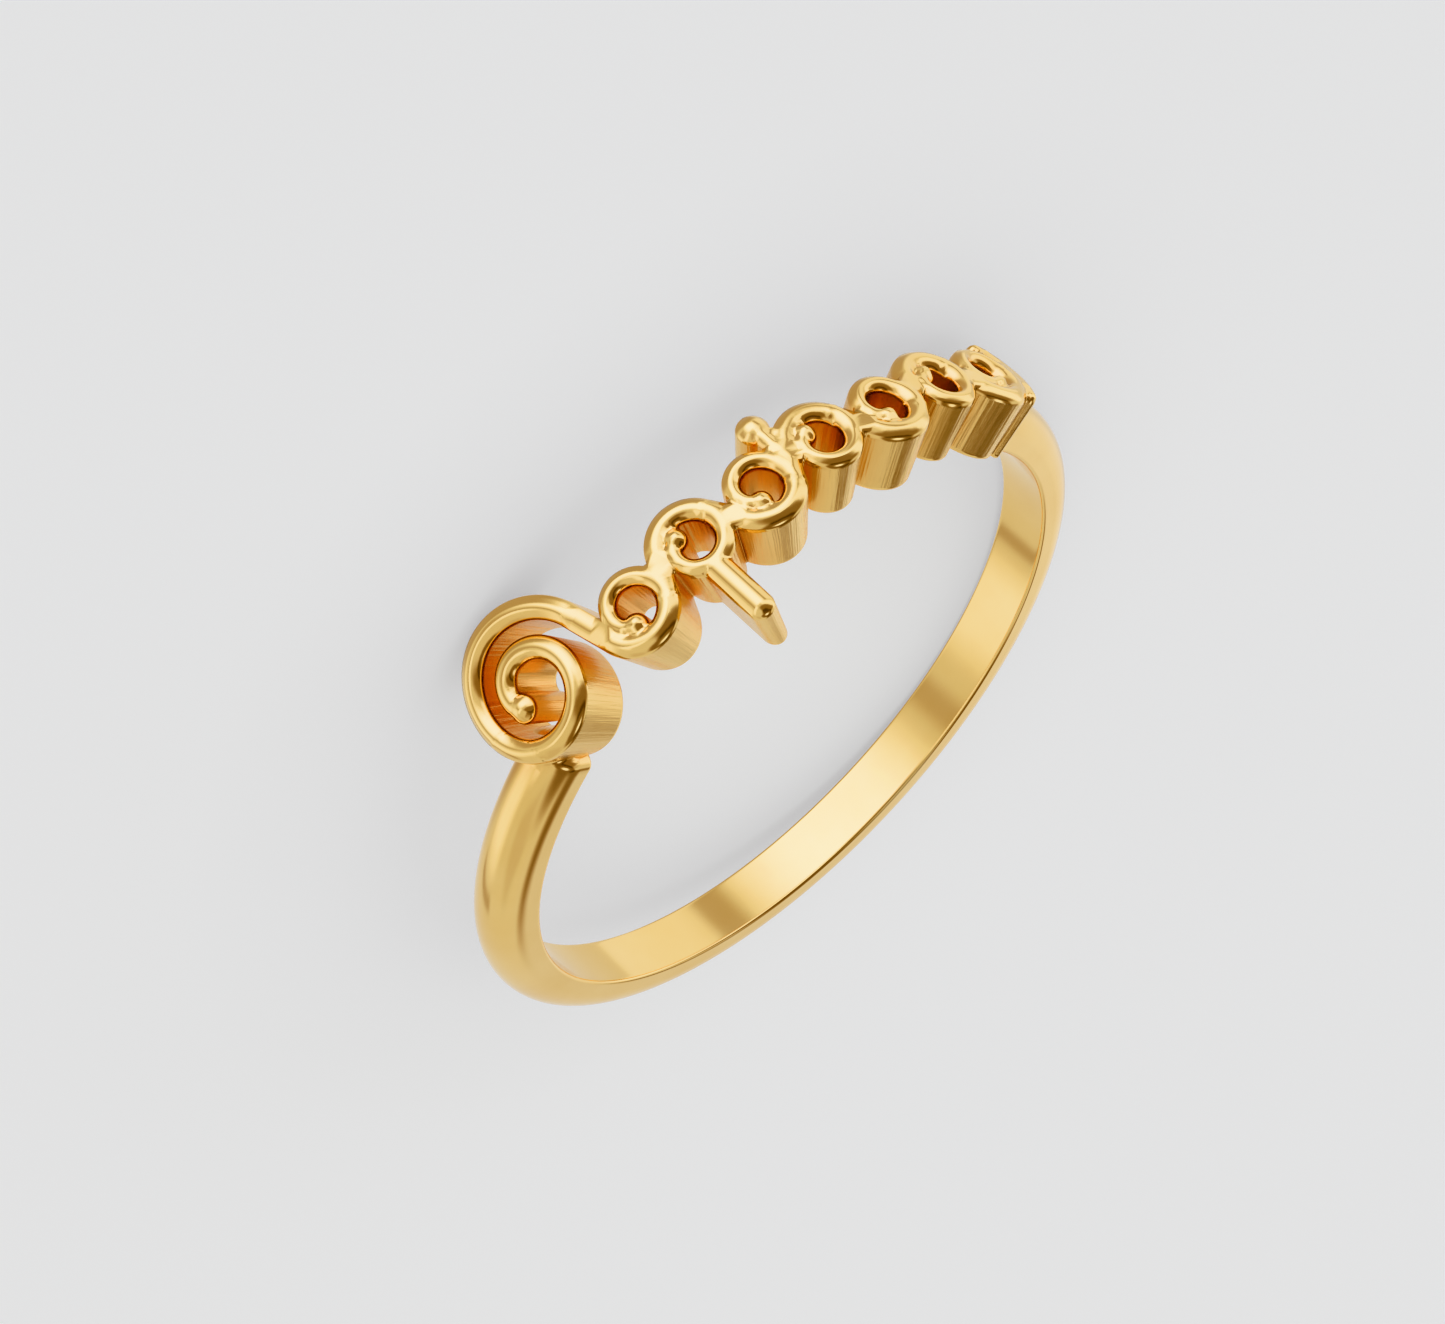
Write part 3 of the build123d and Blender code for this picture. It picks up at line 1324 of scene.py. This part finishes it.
class Surround(NodeMaker):
    """Builds the surround's brightness from its soft boxes in the world's node tree."""

    def __init__(self, tree: bpy.types.NodeTree) -> None:
        """Starts from the direction that is looked in, and its height above the horizon.

        Args:
            tree: The world's node tree.
        """
        super().__init__(tree)
        self.way = self.node("ShaderNodeTexCoord").outputs["Generated"]
        self.elevation = self.math("ARCSINE", self.split(self.way)["Z"])

    def fade(self, angle: Socket, core: float, fade: float, gain: float) -> Socket:
        """Makes a gain that is full near a zero angle and falls smoothly to nothing.

        Args:
            angle: The angle, in radians.
            core: The angle up to which the gain is full, in degrees.
            fade: How far beyond that it falls to nothing, in degrees.
            gain: The full gain.

        Returns:
            The gain.
        """
        given = {
            "Value": self.math("ABSOLUTE", angle),
            "From Min": radians(core + fade),
            "From Max": radians(core),
            "To Max": gain,
        }
        return self.node("ShaderNodeMapRange", given, interpolation_type="SMOOTHSTEP").outputs["Result"]

    def box(self, box: SoftBox) -> Socket:
        """Makes the brightness that one box adds.

        Args:
            box: The box.

        Returns:
            The brightness.
        """
        given = {"Vector": self.way, "Angle": -radians(box.azimuth)}
        turned = self.split(self.node("ShaderNodeVectorRotate", given, rotation_type="Z_AXIS").outputs[0])
        heading = self.math("ARCTAN2", turned["Y"], turned["X"])
        across = self.fade(heading, box.width, box.fades[0], box.gain)
        lift = self.math("SUBTRACT", self.elevation, radians(box.elevation))
        return self.math("MULTIPLY", across, self.fade(lift, box.height, box.fades[1], 1.0))

    def brightness(self, base: float, boxes: tuple[SoftBox, ...]) -> Socket:
        """Adds every box to the base brightness.

        Args:
            base: The base brightness.
            boxes: The boxes.

        Returns:
            The brightness, never below a tenth of the base.
        """
        total = base
        for box in boxes:
            total = self.math("ADD", self.box(box), total)
        return self.math("MAXIMUM", total, base / 10)


class Studio:
    """A pale plain floor and an even surround with soft bright and dim boxes round the ring."""

    FLOOR_SIZE = 1.2
    AMBIENT = 0.78
    BOXES = (
        SoftBox(-88, -18, 8, 10, (40, 22), 2.4),
        SoftBox(8, -20, 8, 8, (20, 20), 0.55),
        SoftBox(-171, -25, 23, 10, (4, 14), 0.34),
        SoftBox(132, 6, 10, 10, (16, 14), 0.17),
        SoftBox(-152, 12, 48, 5, (16, 10), 0.80),
        SoftBox(-30, 10, 14, 4, (14, 8), 0.70),
        SoftBox(-141, -23, 5, 14, (9, 8), -0.22),
        SoftBox(-32, -16, 2, 14, (7, 8), -0.22),
        SoftBox(41, -20, 1.5, 12, (4, 8), -0.28),
        SoftBox(30, 35, 14, 6, (16, 12), -0.10),
        SoftBox(-120, 42, 50, 8, (30, 16), -0.50),
        SoftBox(112, 42, 14, 10, (18, 14), -0.55),
        SoftBox(0, 65, 180, 5, (10, 12), -0.55),
        SoftBox(0, 90, 180, 5, (10, 9), 0.70),
        SoftBox(0, -72, 180, 12, (10, 18), -0.25),
    )
    TINTS = (
        (0.0, (1.0, 0.50, 0.18, 1.0)),
        (0.26, (1.0, 1.0, 1.0, 1.0)),
        (0.5, (0.93, 1.01, 1.25, 1.0)),
        (1.0, (0.86, 1.03, 1.55, 1.0)),
    )
    BRIGHTEST = 2.9
    FLOOR_GLOW = 0.595
    SHADOW_REACH = 7.0 * MM
    SHADOWS = ((0.0, (0.50, 0.51, 0.51, 1.0)), (1.0, (0.955, 0.98, 0.975, 1.0)))
    PAPER = ((0.0, (0.436, 0.443, 0.452, 1.0)), (1.0, (0.450, 0.457, 0.466, 1.0)))
    PAPER_SCALE = 60.0

    def build(self) -> None:
        """Makes the floor and the surround."""
        self.floor()
        world = bpy.data.worlds.new("surround")
        world.use_nodes = True
        surround = Surround(world.node_tree)
        strength = surround.brightness(self.AMBIENT, self.BOXES)
        tint = surround.ramp(surround.math("DIVIDE", strength, self.BRIGHTEST), self.TINTS)
        surround.feed(world.node_tree.nodes["Background"], {"Color": tint, "Strength": strength})
        bpy.context.scene.world = world
        bpy.context.scene.view_settings.view_transform = "Khronos PBR Neutral"

    def paper(self) -> bpy.types.Material:
        """Makes the floor's finish, which glows like a lit table, with a painted shadow: the glow is dimmed
        by ambient occlusion under the ring.

        Returns:
            The material.
        """
        material = bpy.data.materials.new("studio_paper")
        material.use_nodes = True
        maker = NodeMaker(material.node_tree)
        open_sky = maker.node("ShaderNodeAmbientOcclusion", {"Distance": self.SHADOW_REACH}, samples=1)
        place = maker.node("ShaderNodeTexCoord").outputs["Object"]
        grain = maker.node("ShaderNodeTexNoise", {"Vector": place, "Scale": self.PAPER_SCALE})
        given = {
            "Base Color": maker.ramp(grain.outputs["Fac"], self.PAPER),
            "Roughness": 0.9,
            "Specular IOR Level": 0.1,
            # painted shadow: the floor's glow is dimmed where ambient occlusion finds the ring nearby
            "Emission Color": maker.ramp(open_sky.outputs["AO"], self.SHADOWS),
            "Emission Strength": self.FLOOR_GLOW,
        }
        maker.feed(material.node_tree.nodes["Principled BSDF"], given)
        return material

    def floor(self) -> None:
        """Makes the floor, a level square that isn't seen in the ring's polish."""
        half = self.FLOOR_SIZE / 2
        corners = [(-half, -half, 0.0), (half, -half, 0.0), (half, half, 0.0), (-half, half, 0.0)]
        mesh = bpy.data.meshes.new("studio_floor")
        mesh.from_pydata(corners, [], [(0, 1, 2, 3)])
        mesh.materials.append(self.paper())
        floor = bpy.data.objects.new("studio_floor", mesh)
        bpy.context.scene.collection.objects.link(floor)
        floor.visible_glossy = False


class RingScene:
    """Builds the ring, its camera and its studio."""

    WELD = 1e-4

    def __init__(self) -> None:
        """Sets out the flat ring and its seat in the part's frame."""
        self.layout = ScrollLayout()
        self.ring = FlatRing(self.layout)
        self.seat = RingSeat(self.layout, frame["record"]["mounts"][0])
        self.start_angle = 270 + degrees(self.layout.band_end / self.ring.top_radius) / 2

    def flat_mesh(self) -> bpy.types.Mesh:
        """Makes the unrolled ring.

        Returns:
            Its closed mesh, in millimetres.
        """
        sampler = Sampler(self.ring)
        sampler.outline_band()
        sampler.fill_shank()
        sampler.fill_beads()
        places, triangles = sampler.triangulate()
        LOG.info("%d flat places, %d triangles", len(places), len(triangles))
        vertices, faces = FlatMesh(self.ring, places, triangles).build()
        mesh = bpy.data.meshes.new("flat_ring")
        mesh.from_pydata(vertices, [], faces)
        return mesh

    def build(self) -> bpy.types.Object:
        """Makes the finished ring and ties it to the part.

        Returns:
            The ring.
        """
        gold = GoldMaterial("polished_gold").material
        values = {
            "Start Angle": radians(self.start_angle),
            "Top Radius": self.ring.top_radius,
            "Band Start": -self.layout.stem_width,
            "Band End": self.layout.band_end + self.layout.stem_width,
            "Side Height": self.ring.bore_radius + self.ring.shank_side,
            "Weld Distance": self.WELD,
            "Material": gold,
        }
        mesh = BendTree().apply(self.flat_mesh(), values, "scroll_ring_gold")
        mesh.transform(Matrix.Scale(MM, 4) @ self.seat.matrix())
        piece = bpy.data.objects.new("scroll_ring_gold", mesh)
        bpy.context.scene.collection.objects.link(piece)
        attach(piece, "root")
        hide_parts("scroll_ring")
        piece.visible_diffuse = False
        LOG.info("%d faces in %s", len(mesh.polygons), piece.name)
        return piece


def main() -> None:
    """Builds the scene."""
    logging.basicConfig(level=logging.INFO)
    scene = RingScene()
    scene.build()
    Camera(scene.seat, scene.ring).place(scene.start_angle)
    Studio().build()


if __name__ == "__main__":
    main()
